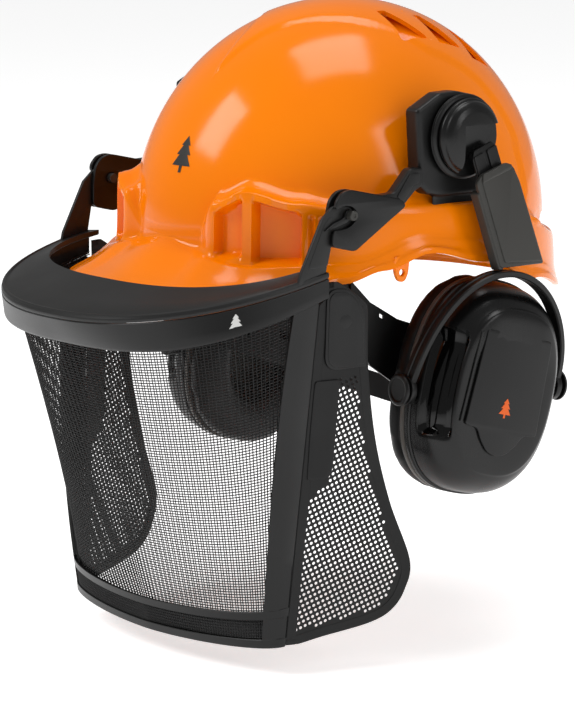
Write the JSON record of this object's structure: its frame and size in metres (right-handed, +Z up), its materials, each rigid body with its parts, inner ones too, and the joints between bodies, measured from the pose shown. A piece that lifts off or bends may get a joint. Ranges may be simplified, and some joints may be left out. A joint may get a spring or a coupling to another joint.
{
  "type": "forestry helmet",
  "caption": "Hard hat for forestry work, with a flip-up mesh visor and side wings, adjustable ear muffs on sprung arms, and a headband with crown straps and a nape size wheel.",
  "frame": {"origin": "on the middle plane under the crown, about level with the brow, inside the space for the head", "axes": "-Y to the wearer's front, +X to the wearer's left, +Z up"},
  "size_m": [0.2716, 0.3467, 0.3485],
  "materials": {
    "shell": "glossy moulded thermoplastic, orange",
    "guard": "fine-grained moulded plastic, dark grey",
    "plastic_black": "satin moulded plastic, black",
    "mesh": "woven monofilament mesh, black",
    "rim_grey": "smooth moulded plastic, grey",
    "cushion": "soft vinyl skin over foam, black",
    "foam": "open-cell foam, grey",
    "webbing": "woven textile strap, black"
  },
  "bodies": {
    "helmet": {"shell": "shell", "headband": "plastic_black", "sweatband": "cushion", "crown_strap_1": "webbing", "crown_strap_2": "webbing", "crown_strap_3": "webbing", "anchor_clip_left": "plastic_black", "anchor_clip_front_left": "plastic_black", "anchor_clip_front_right": "plastic_black", "anchor_clip_right": "plastic_black", "anchor_clip_rear_left": "plastic_black", "anchor_clip_rear_right": "plastic_black", "hinge_bracket_left": "plastic_black", "visor_pivot_pin_left": "plastic_black", "adapter_left": "plastic_black", "hinge_bracket_right": "plastic_black", "visor_pivot_pin_right": "plastic_black", "adapter_right": "plastic_black"},
    "visor": {"brow_guard": "guard", "visor_band": "plastic_black", "mesh_screen": "mesh", "visor_frame": "plastic_black", "side_wing_left": "plastic_black", "side_wing_right": "plastic_black", "wing_patch_left": "plastic_black", "wing_patch_right": "plastic_black", "visor_arm_left": "guard", "visor_arm_right": "guard"},
    "muff_hub_left": {"hub_ring_left": "plastic_black"},
    "muff_swing_left": {"hub_cap_left": "plastic_black", "slide_bar_left": "plastic_black"},
    "muff_fork_left": {"muff_arm_left": "plastic_black", "yoke_left": "plastic_black"},
    "muff_cup_left": {"cup_shell_left": "plastic_black", "cup_face_plate_left": "plastic_black", "cushion_plate_left": "rim_grey", "ear_cushion_left": "cushion", "foam_liner_left": "foam", "pivot_knob_rear_left": "plastic_black", "pivot_knob_front_left": "plastic_black"},
    "muff_hub_right": {"hub_ring_right": "plastic_black"},
    "muff_swing_right": {"hub_cap_right": "plastic_black", "slide_bar_right": "plastic_black"},
    "muff_fork_right": {"muff_arm_right": "plastic_black", "yoke_right": "plastic_black"},
    "muff_cup_right": {"cup_shell_right": "plastic_black", "cup_face_plate_right": "plastic_black", "cushion_plate_right": "rim_grey", "ear_cushion_right": "cushion", "foam_liner_right": "foam", "pivot_knob_rear_right": "plastic_black", "pivot_knob_front_right": "plastic_black"},
    "nape": {"nape_strap": "plastic_black", "ratchet_housing": "plastic_black"},
    "nape_wheel": {"ratchet_knob": "plastic_black", "ratchet_pinion": "plastic_black"}
  },
  "joints": [
    {"name": "visor_flip", "type": "hinge", "parent": "helmet", "child": "visor", "pos_m": [0, -0.086, 0.049], "axis": [-1, 0, 0], "range_deg": [0, 100]},
    {"name": "fore_aft_left", "type": "hinge", "parent": "helmet", "child": "muff_hub_left", "pos_m": [0.111, -0.004, 0.086], "axis": [1, 0, 0], "range_deg": [-6, 2]},
    {"name": "swing_left", "type": "hinge", "parent": "muff_hub_left", "child": "muff_swing_left", "pos_m": [0.1135, -0.0112, 0.1068], "axis": [0, -0.9445, -0.3285], "range_deg": [0, 25]},
    {"name": "slide_left", "type": "slide", "parent": "muff_swing_left", "child": "muff_fork_left", "axis": [0.0449, 0.3288, -0.9433], "range_m": [0, 0.018]},
    {"name": "tilt_left", "type": "hinge", "parent": "muff_fork_left", "child": "muff_cup_left", "pos_m": [0.108, 0.0123, -0.057], "axis": [0.0522, 0.9953, -0.0819], "range_deg": [-5, 5]},
    {"name": "fore_aft_right", "type": "hinge", "parent": "helmet", "child": "muff_hub_right", "pos_m": [-0.111, -0.004, 0.086], "axis": [1, 0, 0], "range_deg": [-6, 2]},
    {"name": "swing_right", "type": "hinge", "parent": "muff_hub_right", "child": "muff_swing_right", "pos_m": [-0.1135, -0.0112, 0.1068], "axis": [0, 0.9445, 0.3285], "range_deg": [0, 25]},
    {"name": "slide_right", "type": "slide", "parent": "muff_swing_right", "child": "muff_fork_right", "axis": [-0.0449, 0.3288, -0.9433], "range_m": [0, 0.018]},
    {"name": "tilt_right", "type": "hinge", "parent": "muff_fork_right", "child": "muff_cup_right", "pos_m": [-0.108, 0.0123, -0.057], "axis": [-0.0522, 0.9953, -0.0819], "range_deg": [-5, 5]},
    {"name": "nape_slide", "type": "slide", "parent": "helmet", "child": "nape", "axis": [0, -1, 0], "range_m": [0, 0.012]},
    {"name": "size_wheel", "type": "hinge", "parent": "nape", "child": "nape_wheel", "pos_m": [0, 0.1, -0.082], "axis": [0, 1, 0], "range_deg": [0, 300]}
  ],
  "couplings": [
    {"joint": "size_wheel", "follows": "nape_slide", "rad_per_m": 436}
  ]
}
